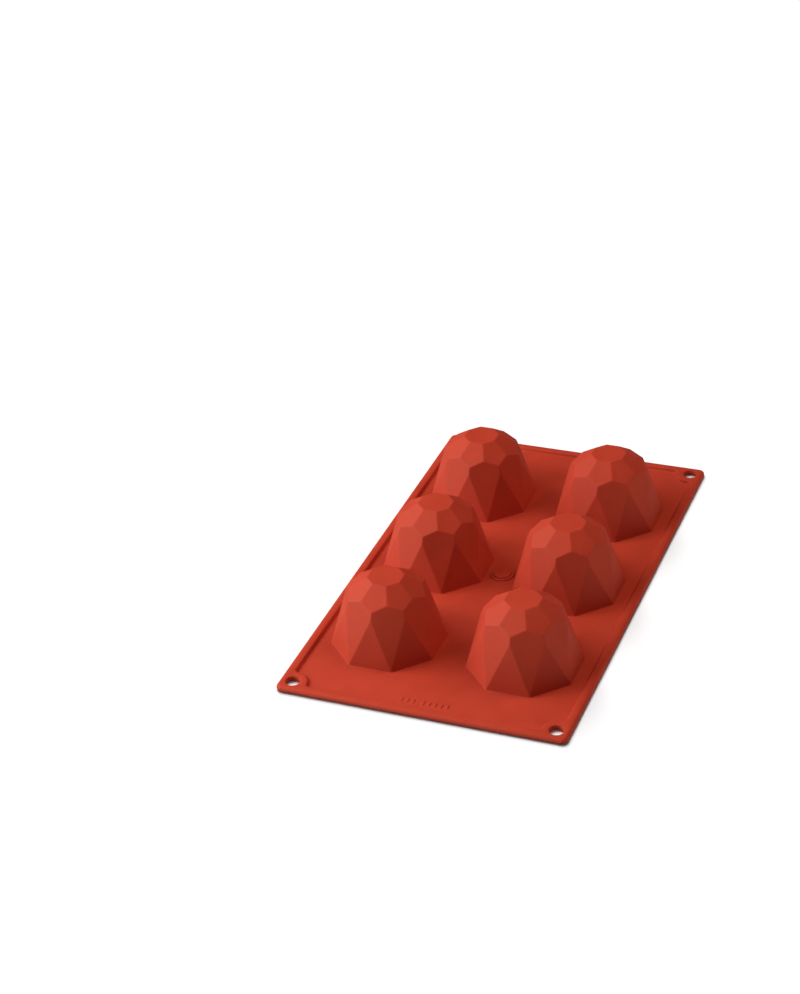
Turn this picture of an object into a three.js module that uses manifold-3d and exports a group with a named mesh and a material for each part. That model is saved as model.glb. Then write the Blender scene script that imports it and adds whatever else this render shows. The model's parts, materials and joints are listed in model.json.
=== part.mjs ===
// A one-piece silicone casting mould: six faceted gem cups, two across and three along, hang
// from a thin sheet with a raised rim and a punched eyelet in each corner.
//
// The mould is laid open side down: the sheet's mouth side is on Z = 0 and the cups stand up
// from it. +Z points from the mouths to the cups' tips, Y runs along the sheet and X across it.
// Units are millimetres. The origin is the middle of the sheet's mouth side.
//
// The real mould is one moulding. It is divided here where its regions meet, so that the sheet
// can bend between the rows of cups and each cup's crown can be pressed in.

import * as THREE from "three";
import { ConvexGeometry } from "three/addons/geometries/ConvexGeometry.js";
import { mergeVertices } from "three/addons/utils/BufferGeometryUtils.js";
import Module from "manifold-3d";

const wasm = await Module();
wasm.setup();

// ---- driving dimensions ----

const LENGTH = 300; // sheet, along Y
const WIDTH = 175; // sheet, along X
const SHEET = 1.5; // thickness of the web between the cups
const RIM_HEIGHT = 3.3; // rim bead and eyelet pads, from the mouth side
const RIM_WIDTH = 6;
const CORNER_RADIUS = 4;

const EYELET_INSET = 8.2; // hole centre to both edges
const EYELET_HOLE_RADIUS = 4.3;
const EYELET_PAD_RADIUS = 9.2;

const PITCH = 84; // cup to cup, both ways
const WALL = 2; // thickness of a cup's wall

// The gem, measured from the web's top face. Each ring of facets has eight planes.
const MOUTH_RADIUS = 34.5; // to the corners of the outside octagon
const GEM_HEIGHT = 44.3;
const TABLE_APOTHEM = 10.2; // flat-to-centre of the octagon on top
const KITE_LEAN = THREE.MathUtils.degToRad(19.3); // long kite facets, from vertical
const TRIANGLE_LEAN = THREE.MathUtils.degToRad(11.1); // triangles between the kites
const CROWN_LEAN = THREE.MathUtils.degToRad(54.4); // five-sided facets round the table

const CROWN_CUT = 21; // flat-to-centre of the upright octagon that parts crown from wall
const GAP = 0.3; // between solids that touch
const SHEET_FLEX_GAP = 1.2; // between panels, so that they clear each other when bent 50 degrees
const RIM_FLEX_GAP = 3.2; // the same at the height of the rim

const ROWS = { front: -1, middle: 0, rear: 1 }; // along Y, in pitches
const SIDES = { left: -1, right: 1 }; // along X, in half pitches

// ---- solids: every shape is closed, then joined or cut ----

function solid(geometry) {
  const bare = geometry.clone();
  bare.deleteAttribute("normal");
  bare.deleteAttribute("uv");
  const merged = mergeVertices(bare, 1e-4);
  return new wasm.Manifold(
    new wasm.Mesh({
      numProp: 3,
      vertProperties: merged.attributes.position.array,
      triVerts: new Uint32Array(merged.index.array),
    }),
  );
}

function geometryOf(made) {
  const mesh = made.getMesh();
  const geometry = new THREE.BufferGeometry();
  geometry.setAttribute("position", new THREE.BufferAttribute(mesh.vertProperties, 3));
  geometry.setIndex(new THREE.BufferAttribute(mesh.triVerts, 1));
  geometry.computeVertexNormals();
  return geometry;
}

function prism(shape, low, high) {
  const settings = { depth: high - low, bevelEnabled: false, curveSegments: 12 };
  return solid(new THREE.ExtrudeGeometry(shape, settings).translate(0, 0, low));
}

// An octagon with flats square to X and Y, as corner points round a centre.
function octagon(x, y, apothem) {
  const radius = apothem / Math.cos(Math.PI / 8);
  return Array.from({ length: 8 }, (_, i) => {
    const turn = ((i + 0.5) * Math.PI) / 4;
    return new THREE.Vector2(x + radius * Math.cos(turn), y + radius * Math.sin(turn));
  });
}

function rectangle(x0, y0, x1, y1) {
  return new THREE.Shape([
    new THREE.Vector2(x0, y0),
    new THREE.Vector2(x1, y0),
    new THREE.Vector2(x1, y1),
    new THREE.Vector2(x0, y1),
  ]);
}

// ---- the gem: eight-fold rings of leaning planes ----

// A plane whose normal leans up by `lean` and faces the direction `turn`; it passes `reach`
// from the axis at height `height`, and `inset` moves it inwards.
function leaningPlane(turn, lean, reach, height, inset) {
  const normal = new THREE.Vector3(
    Math.cos(turn) * Math.cos(lean),
    Math.sin(turn) * Math.cos(lean),
    Math.sin(lean),
  );
  return { normal, offset: reach * Math.cos(lean) + height * Math.sin(lean) - inset };
}

function meet(a, b, c) {
  const rows = new THREE.Matrix3().set(
    ...a.normal.toArray(), ...b.normal.toArray(), ...c.normal.toArray(),
  );
  return new THREE.Vector3(a.offset, b.offset, c.offset).applyMatrix3(rows.invert());
}

// The gem as one convex body from `bottom` to its table, with every plane moved in by `inset`.
function gem(bottom, inset) {
  const flat = Math.cos(Math.PI / 8);
  const table = { normal: new THREE.Vector3(0, 0, 1), offset: GEM_HEIGHT - inset };
  const floor = { normal: new THREE.Vector3(0, 0, 1), offset: bottom };
  const kite = (i) => leaningPlane(((i + 0.5) * Math.PI) / 4, KITE_LEAN, MOUTH_RADIUS, 0, inset);
  const triangle = (i) =>
    leaningPlane((i * Math.PI) / 4, TRIANGLE_LEAN, MOUTH_RADIUS * flat, 0, inset);
  const crown = (i) =>
    leaningPlane((i * Math.PI) / 4, CROWN_LEAN, TABLE_APOTHEM, GEM_HEIGHT, inset);
  const points = [];
  for (let i = 0; i < 8; i++) {
    points.push(
      meet(floor, triangle(i), triangle(i + 1)), // edge of the mouth
      meet(kite(i), triangle(i), triangle(i + 1)), // a kite's lowest corner
      meet(triangle(i + 1), kite(i), kite(i + 1)), // a triangle's tip
      meet(crown(i + 1), kite(i), kite(i + 1)), // a crown facet's lowest corner
      meet(kite(i), crown(i), crown(i + 1)), // a kite's top
      meet(table, crown(i), crown(i + 1)), // a corner of the table
    );
  }
  return solid(new ConvexGeometry(points));
}

// ---- regions of the moulding ----

const outside = gem(-SHEET, 0).translate(0, 0, SHEET);
const inside = gem(-SHEET - 1, WALL).translate(0, 0, SHEET);
const shell = outside.subtract(inside);
const crownCut = (grow) =>
  prism(new THREE.Shape(octagon(0, 0, CROWN_CUT + grow)), 0, SHEET + GEM_HEIGHT + 1);
const cupWall = shell.subtract(crownCut(GAP / 2));
const cupCrown = shell.intersect(crownCut(-GAP / 2));

// The sheet's outline with its round corners, as an upright block.
function outlineBlock(high) {
  const x = WIDTH / 2 - CORNER_RADIUS;
  const y = LENGTH / 2 - CORNER_RADIUS;
  const shape = new THREE.Shape();
  shape.absarc(x, y, CORNER_RADIUS, 0, Math.PI / 2);
  shape.absarc(-x, y, CORNER_RADIUS, Math.PI / 2, Math.PI);
  shape.absarc(-x, -y, CORNER_RADIUS, Math.PI, 1.5 * Math.PI);
  shape.absarc(x, -y, CORNER_RADIUS, 1.5 * Math.PI, 2 * Math.PI);
  shape.closePath();
  return prism(shape, 0, high);
}

const holeX = WIDTH / 2 - EYELET_INSET;
const holeY = LENGTH / 2 - EYELET_INSET;

// The pad round a corner's hole, as the region that the rim and the panels leave to it.
function padBlock(sx, sy, grow, high) {
  const disc = new THREE.Shape();
  disc.absarc(sx * holeX, sy * holeY, EYELET_PAD_RADIUS + grow, 0, 2 * Math.PI);
  const reach = EYELET_PAD_RADIUS + grow;
  const rim = RIM_WIDTH + grow;
  const x = [sx * (holeX - reach), (sx * WIDTH) / 2 + sx].sort((a, b) => a - b);
  const y = [sy * (holeY - reach), (sy * LENGTH) / 2 + sy].sort((a, b) => a - b);
  const xRim = [sx * (WIDTH / 2 - rim), (sx * WIDTH) / 2 + sx].sort((a, b) => a - b);
  const yRim = [sy * (LENGTH / 2 - rim), (sy * LENGTH) / 2 + sy].sort((a, b) => a - b);
  return prism(disc, -1, high)
    .add(prism(rectangle(xRim[0], y[0], xRim[1], y[1]), -1, high))
    .add(prism(rectangle(x[0], yRim[0], x[1], yRim[1]), -1, high));
}

function eyelet(sx, sy) {
  const hole = new THREE.Shape();
  hole.absarc(sx * holeX, sy * holeY, EYELET_HOLE_RADIUS, 0, 2 * Math.PI);
  return outlineBlock(RIM_HEIGHT)
    .intersect(padBlock(sx, sy, 0, RIM_HEIGHT + 1))
    .subtract(prism(hole, -1, RIM_HEIGHT + 1));
}

function withoutPads(made, high) {
  let left = made;
  for (const sx of Object.values(SIDES)) {
    for (const sy of [ROWS.front, ROWS.rear]) left = left.subtract(padBlock(sx, sy, GAP, high));
  }
  return left;
}

// How far a row's stretch of the sheet reaches along Y, less half a gap at each bending line.
function stretchOf(row, gap) {
  const low = row < 0 ? -LENGTH / 2 - 1 : (row - 0.5) * PITCH + gap / 2;
  const high = row > 0 ? LENGTH / 2 + 1 : (row + 0.5) * PITCH - gap / 2;
  return [low, high];
}

function panel(row) {
  const inner = WIDTH / 2 - RIM_WIDTH - GAP;
  const end = LENGTH / 2 - RIM_WIDTH - GAP;
  const [low, high] = stretchOf(row, SHEET_FLEX_GAP);
  let made = prism(
    rectangle(-inner, Math.max(low, -end), inner, Math.min(high, end)), 0, SHEET,
  );
  for (const side of Object.values(SIDES)) {
    const apothem = MOUTH_RADIUS * Math.cos(Math.PI / 8) + SHEET * Math.tan(TRIANGLE_LEAN) + GAP;
    const mouth = octagon((side * PITCH) / 2, row * PITCH, apothem);
    made = made.subtract(prism(new THREE.Shape(mouth), -1, SHEET + 1));
  }
  return withoutPads(made, SHEET + 1);
}

const rimBand = withoutPads(
  outlineBlock(RIM_HEIGHT).subtract(
    prism(
      rectangle(
        RIM_WIDTH - WIDTH / 2, RIM_WIDTH - LENGTH / 2,
        WIDTH / 2 - RIM_WIDTH, LENGTH / 2 - RIM_WIDTH,
      ),
      -1,
      RIM_HEIGHT + 1,
    ),
  ),
  RIM_HEIGHT + 1,
);

function rimAlong(row, side) {
  const [low, high] = stretchOf(row, RIM_FLEX_GAP);
  const end = LENGTH / 2 - RIM_WIDTH;
  const x = [0, side * WIDTH].sort((a, b) => a - b);
  const zone = rectangle(x[0], Math.max(low, -end), x[1], Math.min(high, end));
  return rimBand.intersect(prism(zone, -1, RIM_HEIGHT + 1));
}

function rimAcross(row) {
  const y = [row * (LENGTH / 2 - RIM_WIDTH), row * LENGTH].sort((a, b) => a - b);
  const inner = WIDTH / 2 - RIM_WIDTH;
  return rimBand.intersect(prism(rectangle(-inner, y[0], inner, y[1]), -1, RIM_HEIGHT + 1));
}

// ---- the mould ----

const rubber = { roughness: 0.62, metalness: 0 };
const finish = {
  sheet: new THREE.MeshStandardMaterial({ color: 0xb83c2a, ...rubber }),
  rim: new THREE.MeshStandardMaterial({ color: 0xc4462e, ...rubber }),
  cup: new THREE.MeshStandardMaterial({ color: 0xa83222, ...rubber }),
  crown: new THREE.MeshStandardMaterial({ color: 0xd04c34, ...rubber }),
};

const mould = new THREE.Group();

function piece(name, made, material, x = 0, y = 0) {
  const mesh = new THREE.Mesh(geometryOf(made), material);
  mesh.name = name;
  mesh.position.set(x, y, 0);
  mould.add(mesh);
}

for (const [rowName, row] of Object.entries(ROWS)) {
  piece(`sheet_${rowName}`, panel(row), finish.sheet);
  if (row !== 0) piece(`rim_${rowName}_edge`, rimAcross(row), finish.rim);
  for (const [sideName, side] of Object.entries(SIDES)) {
    const at = `${rowName}_${sideName}`;
    piece(`rim_${at}`, rimAlong(row, side), finish.rim);
    piece(`cup_wall_${at}`, cupWall, finish.cup, (side * PITCH) / 2, row * PITCH);
    piece(`cup_crown_${at}`, cupCrown, finish.crown, (side * PITCH) / 2, row * PITCH);
    if (row !== 0) piece(`eyelet_${at}`, eyelet(side, row), finish.rim);
  }
}

export default mould;
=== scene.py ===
"""A one-piece silicone casting mould: six faceted gem cups on a thin sheet with a raised rim and
four eyelets, lying open side down. The mould's lengths are millimetres until a mesh is made. The
camera, the floor and the lamps are in metres."""
import json
import math

import bmesh
import bpy
from mathutils import Matrix, Vector
from mathutils.geometry import delaunay_2d_cdt

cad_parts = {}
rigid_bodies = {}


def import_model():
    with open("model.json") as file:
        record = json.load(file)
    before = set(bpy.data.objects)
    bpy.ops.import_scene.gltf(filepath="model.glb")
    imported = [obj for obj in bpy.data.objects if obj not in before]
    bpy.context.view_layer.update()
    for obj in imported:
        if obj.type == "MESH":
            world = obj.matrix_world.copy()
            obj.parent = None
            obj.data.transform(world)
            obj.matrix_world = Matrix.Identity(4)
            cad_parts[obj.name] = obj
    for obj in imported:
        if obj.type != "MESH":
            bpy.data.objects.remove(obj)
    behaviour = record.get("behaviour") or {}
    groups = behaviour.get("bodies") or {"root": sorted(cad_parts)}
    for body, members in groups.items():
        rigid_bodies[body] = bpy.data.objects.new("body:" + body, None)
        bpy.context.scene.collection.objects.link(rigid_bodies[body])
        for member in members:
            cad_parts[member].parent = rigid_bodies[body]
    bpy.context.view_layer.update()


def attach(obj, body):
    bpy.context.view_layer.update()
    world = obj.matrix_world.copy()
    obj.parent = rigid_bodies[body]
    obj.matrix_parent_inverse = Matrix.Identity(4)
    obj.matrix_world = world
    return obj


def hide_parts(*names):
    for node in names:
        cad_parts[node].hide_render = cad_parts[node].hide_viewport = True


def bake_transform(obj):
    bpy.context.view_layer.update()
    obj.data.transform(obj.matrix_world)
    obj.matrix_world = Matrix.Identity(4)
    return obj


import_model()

# ---- Camera ----
# A long lens, a little over half a metre up, looks down across the near short side of the sheet.
# It is turned slightly about its own axis, as a hand-held one is.

camera_data = bpy.data.cameras.new("camera")
camera_data.sensor_fit = "HORIZONTAL"
camera_data.sensor_width = 36
camera_data.lens = 103.1
camera = bpy.data.objects.new("camera", camera_data)
camera.location = (0.4005, -1.0985, 0.7769)
looks_at = Vector((-0.0943, 0.0682, 0))
aim = (looks_at - camera.location).to_track_quat("-Z", "Y")
lean = Matrix.Rotation(math.radians(-3.68), 4, "Z")
camera.rotation_euler = (aim.to_matrix().to_4x4() @ lean).to_euler()
bpy.context.scene.collection.objects.link(camera)
bpy.context.scene.camera = camera

# ---- Silicone ----
# Platinum-cured silicone rubber, compression moulded in a blasted steel tool. It is one even
# terracotta red all through, and matt. The tool leaves a fine grain, and reflections are warm.

MM = 0.001


def linear(hex_colour):
    """An sRGB colour such as "#B83A29" as linear RGBA."""
    parts = [int(hex_colour[i : i + 2], 16) / 255 for i in (1, 3, 5)]
    return [p / 12.92 if p <= 0.04045 else ((p + 0.055) / 1.055) ** 2.4 for p in parts] + [1]


def add_node(tree, kind, settings=(), inputs=(), links=()):
    """A node with its settings and input values, and its inputs linked from (node, output) pairs."""
    node = tree.nodes.new(kind)
    for name, value in dict(settings).items():
        setattr(node, name, value)
    for name, value in dict(inputs).items():
        node.inputs[name].default_value = value
    for name, (source, output) in dict(links).items():
        tree.links.new(source.outputs[output], node.inputs[name])
    return node


def per_metre(size_mm):
    """A noise scale whose blotches are about that size."""
    return 1 / (size_mm * MM)


GRAIN = 0.45  # the tool's blasting is finer, about 0.1 mm, and wouldn't show
GRAIN_DEPTH = 0.035
CLOUD = 14  # uneven pigment and handling marks
SAG = 60  # slow unevenness of a limp sheet
SAG_DEPTH = 0.35
NOISE_LOW, NOISE_HIGH = 0.3, 0.7  # nearly all of a noise lies between these


def silicone_rubber():
    material = bpy.data.materials.new("terracotta_silicone_rubber")
    material.use_nodes = True
    tree = material.node_tree
    tree.nodes.clear()
    place = add_node(tree, "ShaderNodeTexCoord")
    grain = add_node(tree, "ShaderNodeTexNoise",
                     inputs={"Scale": per_metre(GRAIN), "Detail": 3, "Roughness": 0.6},
                     links={"Vector": (place, "Object")})
    cloud = add_node(tree, "ShaderNodeTexNoise",
                     inputs={"Scale": per_metre(CLOUD), "Detail": 4, "Roughness": 0.55},
                     links={"Vector": (place, "Object")})
    sag = add_node(tree, "ShaderNodeTexNoise",
                   inputs={"Scale": per_metre(SAG), "Detail": 1},
                   links={"Vector": (place, "Object")})
    pigment = add_node(tree, "ShaderNodeValToRGB", links={"Fac": (cloud, "Fac")})
    dark, light = pigment.color_ramp.elements
    dark.position, dark.color = NOISE_LOW, linear("#B43A25")
    light.position, light.color = NOISE_HIGH, linear("#BC3E28")
    whole_noise = {"From Min": NOISE_LOW, "From Max": NOISE_HIGH}
    speckle = add_node(tree, "ShaderNodeMapRange",
                       inputs={**whole_noise, "To Min": 0.93, "To Max": 1.07},
                       links={"Value": (grain, "Fac")})
    colour = add_node(tree, "ShaderNodeVectorMath", {"operation": "SCALE"},
                      links={"Vector": (pigment, "Color"), "Scale": (speckle, "Result")})
    gloss = add_node(tree, "ShaderNodeMapRange",
                     inputs={**whole_noise, "To Min": 0.62, "To Max": 0.74},
                     links={"Value": (cloud, "Fac")})
    slow = add_node(tree, "ShaderNodeBump", inputs={"Strength": 1, "Distance": SAG_DEPTH * MM},
                    links={"Height": (sag, "Fac")})
    fine = add_node(tree, "ShaderNodeBump", inputs={"Strength": 1, "Distance": GRAIN_DEPTH * MM},
                    links={"Height": (grain, "Fac"), "Normal": (slow, "Normal")})
    shader = add_node(tree, "ShaderNodeBsdfPrincipled",
                      inputs={"IOR": 1.41, "Specular IOR Level": 0.5,
                              "Specular Tint": linear("#FFF4DC")},
                      links={"Base Color": (colour, "Vector"), "Roughness": (gloss, "Result"),
                             "Normal": (fine, "Normal")})
    add_node(tree, "ShaderNodeOutputMaterial", links={"Surface": (shader, "BSDF")})
    return material


silicone = silicone_rubber()

# ---- Cups ----
# Each cup is a gem in thin wall: a table, eight five-sided crown facets, eight long kites down to
# the mouth's corners and eight triangles between them. Inside, the casting gets the same facets.

SHEET = 1.5
PITCH = 84
WALL = 2
MOUTH_RADIUS = 34.5
GEM_HEIGHT = 44.3
TABLE_APOTHEM = 10.2
KITE_LEAN = math.radians(19.3)
TRIANGLE_LEAN = math.radians(11.1)
CROWN_LEAN = math.radians(54.4)
FLAT = math.cos(math.pi / 8)  # an octagon's apothem for a radius of 1
LAND = 3  # flat land round the mouth that belongs to the cup's mesh
LAND_APOTHEM = MOUTH_RADIUS * FLAT + LAND

ROWS = {"front": -1, "middle": 0, "rear": 1}
SIDES = {"left": -1, "right": 1}


def direction(eighths):
    """The level direction so many eighths of a turn round from +X."""
    turn = eighths * math.pi / 4
    return Vector((math.cos(turn), math.sin(turn), 0))


def leaning_plane(eighths, lean_up, reach, height, inset):
    """(normal, offset) of a facet's plane; heights are from the web's top face."""
    normal = direction(eighths) * math.cos(lean_up) + Vector((0, 0, math.sin(lean_up)))
    return normal, reach * math.cos(lean_up) + height * math.sin(lean_up) - inset


def meet(*planes):
    """The point where three planes meet."""
    rows = Matrix([plane[0] for plane in planes])
    return rows.inverted() @ Vector([plane[1] for plane in planes])


def gem_corners(bottom, inset):
    """Each ring of the gem's corners, in eighths of a turn, with heights from the web's top."""
    table = (Vector((0, 0, 1)), GEM_HEIGHT - inset)
    floor = (Vector((0, 0, 1)), bottom)

    def kite(i):
        return leaning_plane(i + 0.5, KITE_LEAN, MOUTH_RADIUS, 0, inset)

    def triangle(i):
        return leaning_plane(i, TRIANGLE_LEAN, MOUTH_RADIUS * FLAT, 0, inset)

    def crown(i):
        return leaning_plane(i, CROWN_LEAN, TABLE_APOTHEM, GEM_HEIGHT, inset)

    return {
        "mouth": [meet(floor, triangle(i), triangle(i + 1)) for i in range(8)],
        "kite_foot": [meet(kite(i), triangle(i), triangle(i + 1)) for i in range(8)],
        "triangle_tip": [meet(triangle(i), kite(i - 1), kite(i)) for i in range(8)],
        "crown_foot": [meet(crown(i), kite(i - 1), kite(i)) for i in range(8)],
        "kite_top": [meet(kite(i), crown(i), crown(i + 1)) for i in range(8)],
        "table": [meet(table, crown(i), crown(i + 1)) for i in range(8)],
    }


def octagon_at(apothem, z):
    return [direction(i + 0.5) * (apothem / FLAT) + Vector((0, 0, z)) for i in range(8)]


def add_ring(mesh, points):
    return [mesh.verts.new(point) for point in points]


def gem_facets(mesh, ring, has_foot):
    """The gem's facets, facing out. With has_foot the triangles run on down to the mouth."""
    mesh.faces.new(ring["table"])
    for i in range(8):
        before, after = (i - 1) % 8, (i + 1) % 8
        mesh.faces.new([ring["table"][i], ring["table"][before], ring["kite_top"][before],
                        ring["crown_foot"][i], ring["kite_top"][i]])
        mesh.faces.new([ring["kite_foot"][i], ring["triangle_tip"][after],
                        ring["crown_foot"][after], ring["kite_top"][i], ring["crown_foot"][i],
                        ring["triangle_tip"][i]])
        outline = [ring["kite_foot"][before], ring["kite_foot"][i], ring["triangle_tip"][i]]
        if has_foot:
            outline = [ring["mouth"][before], ring["mouth"][i], ring["kite_foot"][i],
                       ring["triangle_tip"][i], ring["kite_foot"][before]]
        mesh.faces.new(outline)


def bridge(mesh, low, high):
    """Faces between two closed rings with as many corners, facing out when low is under high."""
    count = len(low)
    return [mesh.faces.new([low[i], low[(i + 1) % count], high[(i + 1) % count], high[i]])
            for i in range(count)]


FACET_EDGE = 0.45  # width of the rounding along facet edges, inside and out
MOUTH_EDGE = 0.6
FOOT_FILLET = 0.25  # the cup's foot flows into the sheet
ROUNDING_STEPS = 4
CREASE = math.radians(40)  # a sharper turn than this is a corner, not part of a rounding
FLAT_FACET = 12  # square millimetres; roundings are smaller than this
FACET_BORDER = 0.3  # keeps a facet flat up to its rounding
STRETCH_STEP = 3  # height between the cuts across the wall
UNCUT_TOP = 8  # this much at the top is left without cuts
TOUCHING = 1e-4  # a corner this near to a cut is on it


def cup_mesh():
    """One cup round Z, as a closed mesh in millimetres."""
    mesh = bmesh.new()
    lift = Vector((0, 0, SHEET))
    outside = {name: add_ring(mesh, [p + lift for p in points])
               for name, points in gem_corners(0, 0).items() if name != "mouth"}
    gem_facets(mesh, outside, False)
    outer_faces = set(mesh.faces)
    inside = {name: add_ring(mesh, [p + lift for p in points])
              for name, points in gem_corners(-SHEET, WALL).items()}
    gem_facets(mesh, inside, True)
    inner_faces = [face for face in mesh.faces if face not in outer_faces]
    bmesh.ops.reverse_faces(mesh, faces=inner_faces)
    land_top = add_ring(mesh, octagon_at(LAND_APOTHEM, SHEET))
    land_bottom = add_ring(mesh, octagon_at(LAND_APOTHEM, 0))
    bridge(mesh, land_top, outside["kite_foot"])
    bridge(mesh, land_bottom, land_top)
    bridge(mesh, inside["mouth"], land_bottom)

    weight = mesh.edges.layers.float.new("bevel_weight_edge")
    widest = max(FACET_EDGE, MOUTH_EDGE, FOOT_FILLET)
    land = set(land_top) | set(land_bottom)
    foot, mouth = set(outside["kite_foot"]), set(inside["mouth"])
    for edge in mesh.edges:
        ends = set(edge.verts)
        width = FACET_EDGE
        if ends & land:
            width = 0
        elif ends <= foot:
            width = FOOT_FILLET
        elif ends <= mouth:
            width = MOUTH_EDGE
        edge[weight] = width / widest
    return mesh, widest


def as_object(mesh, name):
    data = bpy.data.meshes.new(name)
    mesh.to_mesh(data)
    mesh.free()
    made = bpy.data.objects.new(name, data)
    bpy.context.scene.collection.objects.link(made)
    return made


def settled(made):
    """Turns an object's modifiers into its plain mesh."""
    bpy.context.view_layer.update()
    seen = made.evaluated_get(bpy.context.evaluated_depsgraph_get())
    plain = bpy.data.meshes.new_from_object(seen)
    made.modifiers.clear()
    made.data = plain
    return made


def smooth_with_corners(mesh):
    """Turns all faces outward and shades them smooth, but for the corners."""
    bmesh.ops.recalc_face_normals(mesh, faces=mesh.faces)
    for face in mesh.faces:
        face.smooth = True
    for edge in mesh.edges:
        if edge.calc_face_angle(0) > CREASE:
            edge.smooth = False


def rounded_cup():
    """The cup with its edges rounded and its wall cut across."""
    mesh, widest = cup_mesh()
    made = as_object(mesh, "cup_form")
    rounding = made.modifiers.new("rounding", "BEVEL")
    rounding.limit_method = "WEIGHT"
    rounding.width = widest
    rounding.segments = ROUNDING_STEPS
    rounding.use_clamp_overlap = True
    settled(made)
    mesh = bmesh.new()
    mesh.from_mesh(made.data)
    facets = [f for f in mesh.faces if f.calc_area() > FLAT_FACET]
    bmesh.ops.inset_individual(mesh, faces=facets, thickness=FACET_BORDER)
    height = STRETCH_STEP + SHEET
    while height < SHEET + GEM_HEIGHT - UNCUT_TOP:
        everything = list(mesh.verts) + list(mesh.edges) + list(mesh.faces)
        bmesh.ops.bisect_plane(mesh, geom=everything, dist=TOUCHING, plane_co=(0, 0, height),
                               plane_no=(0, 0, 1))
        height += STRETCH_STEP
    bpy.data.objects.remove(made)
    return mesh


cup_form = rounded_cup()
for row_name, row in ROWS.items():
    for side_name, side in SIDES.items():
        at = f"{row_name}_{side_name}"
        copy = cup_form.copy()
        centre = Vector((side * PITCH / 2, row * PITCH, 0))
        for vert in copy.verts:
            vert.co = (vert.co + centre) * MM
        smooth_with_corners(copy)
        cup = as_object(copy, f"gem_cup_{at}")
        cup.data.materials.append(silicone)
        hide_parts(f"cup_wall_{at}", f"cup_crown_{at}")
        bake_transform(cup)
cup_form.free()

# ---- Sheet ----
# The thin web that joins the cups, with a raised bead all round that stiffens it and a pad round
# the hanging hole in each corner. Its edges are rounded, and its mesh is cut closely across between
# the rows of cups.

LENGTH = 300
WIDTH = 175
RIM_HEIGHT = 3.3
RIM_WIDTH = 6
CORNER_RADIUS = 4
EYELET_INSET = 8.2
EYELET_HOLE = 4.3
PAD_RADIUS = 9.2
NOTCH = 2.6  # radius between the rim's inner side and a pad
BEND_HALF = 7  # half the width of the bending stretch
BEND_CUTS = 4  # cuts across each half of it, and one more beyond its end

EDGE_PROFILE = [(2.2, RIM_HEIGHT), (1.6, 3.24), (1.05, 3.06), (0.6, 2.74), (0.25, 2.3), (0.06, 1.8),
                (0, 1.3), (0.06, 0.85), (0.25, 0.45), (0.6, 0.14), (1.1, 0)]  # in, up
SLOPE_PROFILE = [(-1.6, RIM_HEIGHT), (-1.15, 3.24), (-0.8, 3.08), (-0.55, 2.84), (-0.38, 2.5),
                 (-0.28, 2.1), (-0.15, 1.75), (0.1, 1.52), (0.5, 1.43), (0.9, 1.45),
                 (1.3, SHEET)]  # in from the rim's inner line, down a steep step
HOLE_PROFILE = [(0.55, RIM_HEIGHT), (0.2, 3.2), (0, 2.9), (0, 0.5), (0.15, 0.18),
                (0.5, 0)]  # out, up
HOLE_SIDES = 32

hole_x = WIDTH / 2 - EYELET_INSET
hole_y = LENGTH / 2 - EYELET_INSET
bend_lines = sorted([sign * (PITCH / 2) + step * BEND_HALF / BEND_CUTS for sign in (-1, 1)
                     for step in range(-BEND_CUTS - 1, BEND_CUTS + 2)] + [0])


def arc(x, y, radius, start, end, steps):
    """Points on an arc, with angles in degrees."""
    turns = [math.radians(start + (end - start) * i / steps) for i in range(steps + 1)]
    return [(x + radius * math.cos(t), y + radius * math.sin(t)) for t in turns]


def round_the_sheet(corner):
    """A closed path anticlockwise from one corner's points in the +X +Y quarter, with a point
    on each long side at every bending line."""
    second = [(-x, y) for x, y in reversed(corner)]
    third = [(-x, -y) for x, y in corner]
    fourth = [(x, -y) for x, y in reversed(corner)]
    side = corner[0][0]
    up = [(side, y) for y in bend_lines]
    down = [(-side, y) for y in reversed(bend_lines)]
    return up + corner + second + down + third + fourth


def outer_path(inset):
    """The sheet's outline, moved in by inset at the corners."""
    x, y = WIDTH / 2 - CORNER_RADIUS, LENGTH / 2 - CORNER_RADIUS
    return round_the_sheet(arc(x, y, CORNER_RADIUS - inset, 0, 90, 10))


def inner_path(inset):
    """The rim's inner line, round the pads, moved in by inset."""
    side = EYELET_INSET - RIM_WIDTH  # from the hole's centre out to the rim's inner line
    near = side - NOTCH
    far = -math.sqrt((PAD_RADIUS + NOTCH) ** 2 - near**2)
    turn = math.degrees(math.atan2(-far, -near))
    corner = arc(hole_x + near, hole_y + far, NOTCH - inset, 0, turn, 8)
    corner += arc(hole_x, hole_y, PAD_RADIUS + inset, turn - 180, -90 - turn, 16)
    corner += arc(hole_x + far, hole_y + near, NOTCH - inset, 90 - turn, 90, 8)
    return round_the_sheet(corner)


def at_height(path, z):
    return [Vector((x, y, z)) for x, y in path]


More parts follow.
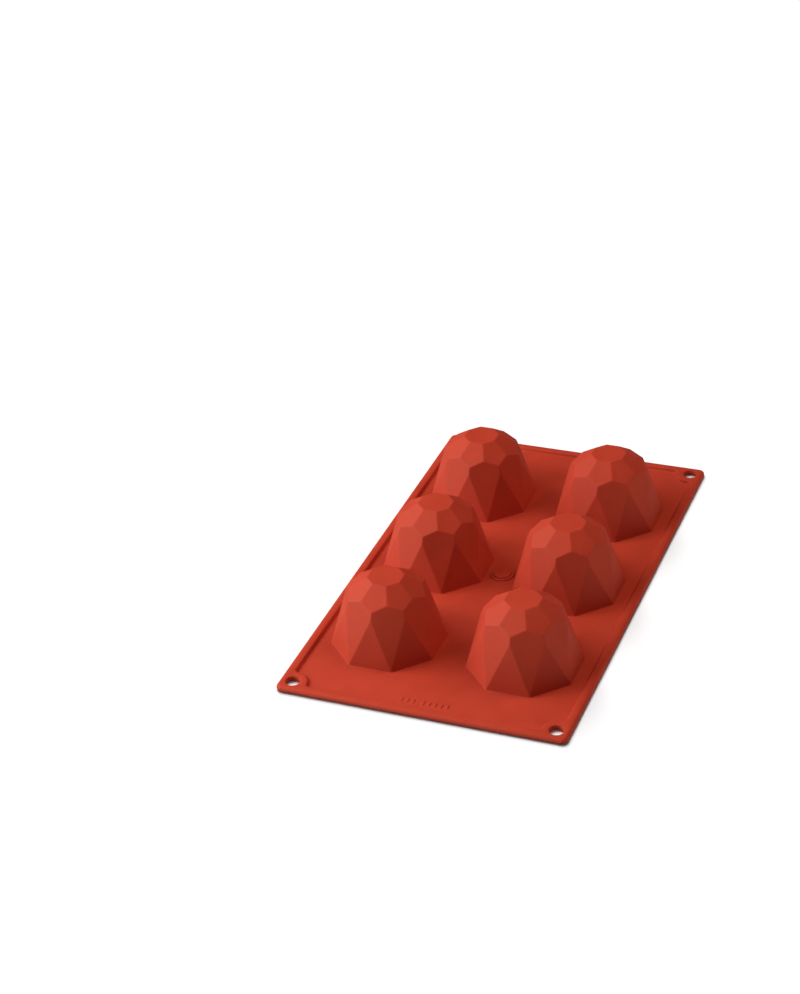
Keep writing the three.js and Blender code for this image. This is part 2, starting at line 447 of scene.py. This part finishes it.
def fill(mesh, loops, z, facing, lines=()):
    """A flat face at height z between an outer loop of corners and the loops of its holes, cut
    along the given lines."""
    corners = [v for loop in loops for v in loop]
    edges = []
    first = 0
    for loop in loops:
        count = len(loop)
        edges += [(first + i, first + (i + 1) % count) for i in range(count)]
        first += count
    points = [Vector((v.co.x, v.co.y)) for v in corners]
    for a, b in lines:
        points += [Vector(a), Vector(b)]
        edges.append((len(points) - 2, len(points) - 1))
    found, _, triangles, origin, _, _ = delaunay_2d_cdt(points, edges, [], 1, 1e-5)
    made = []
    for point, sources in zip(found, origin):
        known = [i for i in sources if i < len(corners)]
        made.append(corners[known[0]] if known else mesh.verts.new((point.x, point.y, z)))
    outer = [v.co.xy for v in loops[0]]
    holes = [[v.co.xy for v in loop] for loop in loops[1:]]
    for triangle in triangles:
        middle = sum((found[i] for i in triangle), Vector((0, 0))) / 3
        if not is_inside(middle, outer) or any(is_inside(middle, hole) for hole in holes):
            continue
        order = triangle if facing > 0 else list(reversed(triangle))
        mesh.faces.new([made[i] for i in order])


def is_inside(point, loop):
    """Whether a point is within a closed outline, by the crossings of a line to the right."""
    inside = False
    for a, b in zip(loop, loop[1:] + loop[:1]):
        if (a.y > point.y) != (b.y > point.y):
            if point.x < a.x + (point.y - a.y) * (b.x - a.x) / (b.y - a.y):
                inside = not inside
    return inside


def hole_path(x, y, radius):
    return arc(x, y, radius, 0, 360 - 360 / HOLE_SIDES, HOLE_SIDES - 1)


def sheet_mesh():
    """The whole sheet with its rim and eyelets, open only at the cups' mouths."""
    mesh = bmesh.new()
    edge_rings = [add_ring(mesh, at_height(outer_path(inset), z)) for inset, z in EDGE_PROFILE]
    for high, low in zip(edge_rings, edge_rings[1:]):
        bridge(mesh, low, high)
    slope_rings = [add_ring(mesh, at_height(inner_path(inset), z)) for inset, z in SLOPE_PROFILE]
    for high, low in zip(slope_rings, slope_rings[1:]):
        bridge(mesh, low, high)
    top_holes, bottom_holes = [], []
    for x in (-hole_x, hole_x):
        for y in (-hole_y, hole_y):
            rings = [add_ring(mesh, at_height(hole_path(x, y, EYELET_HOLE + out), z))
                     for out, z in HOLE_PROFILE]
            for high, low in zip(rings, rings[1:]):
                bridge(mesh, high, low)
            top_holes.append(rings[0])
            bottom_holes.append(rings[-1])
    mouths_top, mouths_bottom = [], []
    for row in ROWS.values():
        for side in SIDES.values():
            centre = Vector((side * PITCH / 2, row * PITCH, 0))
            top = add_ring(mesh, [p + centre for p in octagon_at(LAND_APOTHEM, SHEET)])
            bottom = add_ring(mesh, [p + centre for p in octagon_at(LAND_APOTHEM, 0)])
            bridge(mesh, top, bottom)
            mouths_top.append(top)
            mouths_bottom.append(bottom)
    inner_x = WIDTH / 2 - RIM_WIDTH - SLOPE_PROFILE[-1][0]
    outer_x = WIDTH / 2 - EDGE_PROFILE[-1][0]
    web_lines = [((-inner_x, y), (inner_x, y)) for y in bend_lines]
    under_lines = [((-outer_x, y), (outer_x, y)) for y in bend_lines]
    rim_top = EDGE_PROFILE[0][0], RIM_WIDTH + SLOPE_PROFILE[0][0]
    rim_lines = []
    for y in bend_lines:
        for sign in (-1, 1):
            ends = [sign * (WIDTH / 2 - inset) for inset in rim_top]
            rim_lines.append(((ends[0], y), (ends[1], y)))
    fill(mesh, [slope_rings[-1]] + mouths_top, SHEET, 1, web_lines)
    fill(mesh, [edge_rings[0], slope_rings[0]] + top_holes, RIM_HEIGHT, 1, rim_lines)
    fill(mesh, [edge_rings[-1]] + mouths_bottom + bottom_holes, 0, -1, under_lines)
    return mesh


def sheet_half(name, sign, nodes):
    """The half of the sheet in front of (-1) or behind (1) its middle, closed along the cut."""
    mesh = whole_sheet.copy()
    everything = list(mesh.verts) + list(mesh.edges) + list(mesh.faces)
    cut = bmesh.ops.bisect_plane(mesh, geom=everything, dist=TOUCHING, plane_co=(0, 0, 0),
                                 plane_no=(0, sign, 0), clear_inner=True)
    open_edges = [e for e in cut["geom_cut"] if isinstance(e, bmesh.types.BMEdge)]
    bmesh.ops.edgenet_fill(mesh, edges=open_edges)
    for vert in mesh.verts:
        vert.co *= MM
    smooth_with_corners(mesh)
    half = as_object(mesh, name)
    half.data.materials.append(silicone)
    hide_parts(*nodes)
    return half


whole_sheet = sheet_mesh()
for row_name, sign in (("front", -1), ("rear", 1)):
    nodes = [f"sheet_{row_name}", f"rim_{row_name}_edge", f"rim_{row_name}_left",
             f"rim_{row_name}_right", f"eyelet_{row_name}_left", f"eyelet_{row_name}_right"]
    if row_name == "front":
        nodes += ["sheet_middle", "rim_middle_left", "rim_middle_right"]
    half = sheet_half(f"rimmed_sheet_{row_name}", sign, nodes)
    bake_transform(half)
whole_sheet.free()

# ---- Raised marks ----
# Low relief left by cuts in the tool: a stepped round boss in the middle of the sheet, and near
# the front rim two groups of plain strokes, where a maker's lettering would be.

BOSS = {"Steps": 2, "Radius": 7.4 * MM, "Inset": 1.9 * MM, "Rise": 0.7 * MM,
        "Sunk": 0.3 * MM}
DRAFT = 0.97  # a disc's top for a foot of 1
TALLY = {"Count": 3, "Spacing": 3.6 * MM, "Length": 1.7 * MM, "Width": 4.8 * MM,
         "Height": 0.35 * MM}
LONG_TALLY = {**TALLY, "Count": 5}
BOSS_CENTRE = Vector((-0.5, -1.5, SHEET)) * MM
TALLY_CENTRE = Vector((-10.3, -137.8, SHEET)) * MM
LONG_TALLY_CENTRE = Vector((6.4, -137.8, SHEET)) * MM
SAME_POINT = 0.001 * MM


def mark_tree(name, sizes):
    """An empty tree with a named input for each size, and the node that gives them out."""
    tree = bpy.data.node_groups.new(name, "GeometryNodeTree")
    for socket in sizes:
        kind = "NodeSocketFloat" if isinstance(sizes[socket], float) else "NodeSocketInt"
        tree.interface.new_socket(socket, in_out="INPUT", socket_type=kind)
    tree.interface.new_socket("Centre", in_out="INPUT", socket_type="NodeSocketVector")
    tree.interface.new_socket("Geometry", in_out="OUTPUT", socket_type="NodeSocketGeometry")
    return tree, tree.nodes.new("NodeGroupInput")


def finish_tree(tree, shape, sizes):
    """Moves the shape to its centre, makes it real and gives it the silicone."""
    placed = add_node(tree, "GeometryNodeTransform",
                      links={"Geometry": shape, "Translation": (sizes, "Centre")})
    real = add_node(tree, "GeometryNodeRealizeInstances", links={"Geometry": (placed, "Geometry")})
    covered = add_node(tree, "GeometryNodeSetMaterial", inputs={"Material": silicone},
                       links={"Geometry": (real, "Geometry")})
    add_node(tree, "NodeGroupOutput", links={"Geometry": (covered, "Geometry")})


def boss_tree():
    """Flat discs on each other, each one Inset smaller and one Rise higher than the last."""
    tree, sizes = mark_tree("stepped_boss", BOSS)
    places = add_node(tree, "GeometryNodeMeshLine", inputs={"Offset": (0, 0, 0)},
                      links={"Count": (sizes, "Steps")})
    order = add_node(tree, "GeometryNodeInputIndex")
    cut_back = add_node(tree, "ShaderNodeMath", {"operation": "MULTIPLY"},
                        links={0: (order, "Index"), 1: (sizes, "Inset")})
    radius = add_node(tree, "ShaderNodeMath", {"operation": "SUBTRACT"},
                      links={0: (sizes, "Radius"), 1: (cut_back, "Value")})
    number = add_node(tree, "ShaderNodeMath", {"operation": "ADD"}, inputs={1: 1},
                      links={0: (order, "Index")})
    shown = add_node(tree, "ShaderNodeMath", {"operation": "MULTIPLY"},
                     links={0: (number, "Value"), 1: (sizes, "Rise")})
    height = add_node(tree, "ShaderNodeMath", {"operation": "ADD"},
                      links={0: (shown, "Value"), 1: (sizes, "Sunk")})
    scale = add_node(tree, "ShaderNodeCombineXYZ",
                     links={"X": (radius, "Value"), "Y": (radius, "Value"),
                            "Z": (height, "Value")})
    disc = add_node(tree, "GeometryNodeMeshCone", {"fill_type": "NGON"},
                    inputs={"Vertices": 96, "Radius Top": DRAFT, "Radius Bottom": 1, "Depth": 1})
    lowered = add_node(tree, "ShaderNodeMath", {"operation": "MULTIPLY"}, inputs={1: -1},
                       links={0: (sizes, "Sunk")})
    base = add_node(tree, "ShaderNodeCombineXYZ", links={"Z": (lowered, "Value")})
    discs = add_node(tree, "GeometryNodeInstanceOnPoints",
                     links={"Points": (places, "Mesh"), "Instance": (disc, "Mesh"),
                            "Scale": (scale, "Vector")})
    bedded = add_node(tree, "GeometryNodeTransform",
                      links={"Geometry": (discs, "Instances"), "Translation": (base, "Vector")})
    finish_tree(tree, (bedded, "Geometry"), sizes)
    return tree


def tally_tree():
    """A row of low rounded strokes along X, centred on the row's middle."""
    tree, sizes = mark_tree("row_of_strokes", TALLY)
    step = add_node(tree, "ShaderNodeCombineXYZ", links={"X": (sizes, "Spacing")})
    gaps = add_node(tree, "ShaderNodeMath", {"operation": "SUBTRACT"}, inputs={1: 1},
                    links={0: (sizes, "Count")})
    length = add_node(tree, "ShaderNodeMath", {"operation": "MULTIPLY"},
                      links={0: (gaps, "Value"), 1: (sizes, "Spacing")})
    back = add_node(tree, "ShaderNodeMath", {"operation": "MULTIPLY"}, inputs={1: -0.5},
                    links={0: (length, "Value")})
    start = add_node(tree, "ShaderNodeCombineXYZ", links={"X": (back, "Value")})
    places = add_node(tree, "GeometryNodeMeshLine",
                      links={"Count": (sizes, "Count"), "Start Location": (start, "Vector"),
                             "Offset": (step, "Vector")})
    pip = add_node(tree, "GeometryNodeMeshUVSphere",
                   inputs={"Segments": 16, "Rings": 8, "Radius": 0.5})
    tall = add_node(tree, "ShaderNodeMath", {"operation": "MULTIPLY"}, inputs={1: 2},
                    links={0: (sizes, "Height")})
    shape = add_node(tree, "ShaderNodeCombineXYZ",
                     links={"X": (sizes, "Length"), "Y": (sizes, "Width"), "Z": (tall, "Value")})
    dashes = add_node(tree, "GeometryNodeInstanceOnPoints",
                      links={"Points": (places, "Mesh"), "Instance": (pip, "Mesh"),
                             "Scale": (shape, "Vector")})
    finish_tree(tree, (dashes, "Instances"), sizes)
    return tree


def grown_mark(name, tree, sizes, centre, body):
    """Runs a tree with its sizes and keeps the result as a plain mesh on a body."""
    mark = bpy.data.objects.new(name, bpy.data.meshes.new(name))
    bpy.context.scene.collection.objects.link(mark)
    growth = mark.modifiers.new("growth", "NODES")
    growth.node_group = tree
    for socket in tree.interface.items_tree:
        if socket.in_out == "INPUT":
            value = centre if socket.name == "Centre" else sizes[socket.name]
            growth[socket.identifier] = value
    settled(mark)
    mesh = bmesh.new()
    mesh.from_mesh(mark.data)
    bmesh.ops.remove_doubles(mesh, verts=mesh.verts, dist=SAME_POINT)
    smooth_with_corners(mesh)
    mesh.to_mesh(mark.data)
    mesh.free()
    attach(mark, body)


grown_mark("round_boss", boss_tree(), BOSS, BOSS_CENTRE, "middle_row")
tally = tally_tree()
grown_mark("tally_short", tally, TALLY, TALLY_CENTRE, "front_row")
grown_mark("tally_long", tally, LONG_TALLY, LONG_TALLY_CENTRE, "front_row")

# ---- Floor and light ----
# White card to the horizon. Two soft boxes on the left and a wider one behind on the right light
# the mould alone, and two suns light the card alone, so that it stays white up to the mould, with
# only a thin soft shadow along the mould's edges.


def plain_card():
    material = bpy.data.materials.new("white_card")
    material.use_nodes = True
    shader = material.node_tree.nodes["Principled BSDF"]
    shader.inputs["Base Color"].default_value = linear("#F4F4F4")
    shader.inputs["Roughness"].default_value = 0.9
    shader.inputs["Specular IOR Level"].default_value = 0
    return material


FLOOR = 30  # metres from the middle to each edge
floor_mesh = bpy.data.meshes.new("floor")
floor_mesh.from_pydata([(-FLOOR, -FLOOR, 0), (FLOOR, -FLOOR, 0), (FLOOR, FLOOR, 0),
                        (-FLOOR, FLOOR, 0)], [], [(0, 1, 2, 3)])
floor = bpy.data.objects.new("floor", floor_mesh)
bpy.context.scene.collection.objects.link(floor)
floor.data.materials.append(plain_card())

mould_pieces = bpy.data.collections.new("mould_pieces")
card = bpy.data.collections.new("card")
card.objects.link(floor)
for piece in bpy.context.scene.objects:
    if piece.type == "MESH" and piece != floor:
        mould_pieces.objects.link(piece)


def lamp(name, kind, azimuth, elevation, distance, lights_up):
    """A light at so many degrees round from +X and up, aimed at the mould's middle, which lights
    one collection."""
    data = bpy.data.lights.new(name, kind)
    made = bpy.data.objects.new(name, data)
    turn, rise = math.radians(azimuth), math.radians(elevation)
    made.location = Vector((math.cos(turn) * math.cos(rise), math.sin(turn) * math.cos(rise),
                            math.sin(rise))) * distance
    made.rotation_euler = (-made.location).to_track_quat("-Z", "Y").to_euler()
    made.light_linking.receiver_collection = lights_up
    bpy.context.scene.collection.objects.link(made)
    return data


BOX_WIDTH = 0.8  # for each metre of its distance
SOFT_BOXES = {"side_box": (180, 42, 1.1, 6.0), "front_box": (210, 27, 1.1, 10.0),
              "rear_box": (30, 60, 2.5, 35)}  # azimuth, elevation, metres away, watts
for name, (azimuth, elevation, distance, watts) in SOFT_BOXES.items():
    box = lamp(name, "AREA", azimuth, elevation, distance, mould_pieces)
    box.shape = "DISK"
    box.size = distance * BOX_WIDTH
    box.energy = watts
bpy.data.objects["rear_box"].visible_glossy = False
floor.visible_glossy = False

SUN_DISTANCE = 3  # a sun's light is the same from any distance
SUNS = {"overhead": (126, 48, 4.3, 44),
        "ceiling": (0, 90, 0.4, 170)}  # azimuth, elevation, watts a square metre, degrees across
for name, (azimuth, elevation, strength, width) in SUNS.items():
    sun = lamp(name, "SUN", azimuth, elevation, SUN_DISTANCE, card)
    sun.energy = strength
    sun.angle = math.radians(width)

ROOM_LIGHT = 0.03  # what the white room adds to the lamps
room = bpy.data.worlds.new("room")
room.use_nodes = True
room.node_tree.nodes.clear()
ray = add_node(room.node_tree, "ShaderNodeLightPath")
brightness = add_node(room.node_tree, "ShaderNodeMapRange",
                      inputs={"To Min": ROOM_LIGHT, "To Max": 1},
                      links={"Value": (ray, "Is Camera Ray")})
background = add_node(room.node_tree, "ShaderNodeBackground", inputs={"Color": (1, 1, 1, 1)},
                      links={"Strength": (brightness, "Result")})
add_node(room.node_tree, "ShaderNodeOutputWorld", links={"Surface": (background, "Background")})
bpy.context.scene.world = room
bpy.context.scene.view_settings.view_transform = "Standard"
bpy.context.scene.view_settings.gamma = 0.95
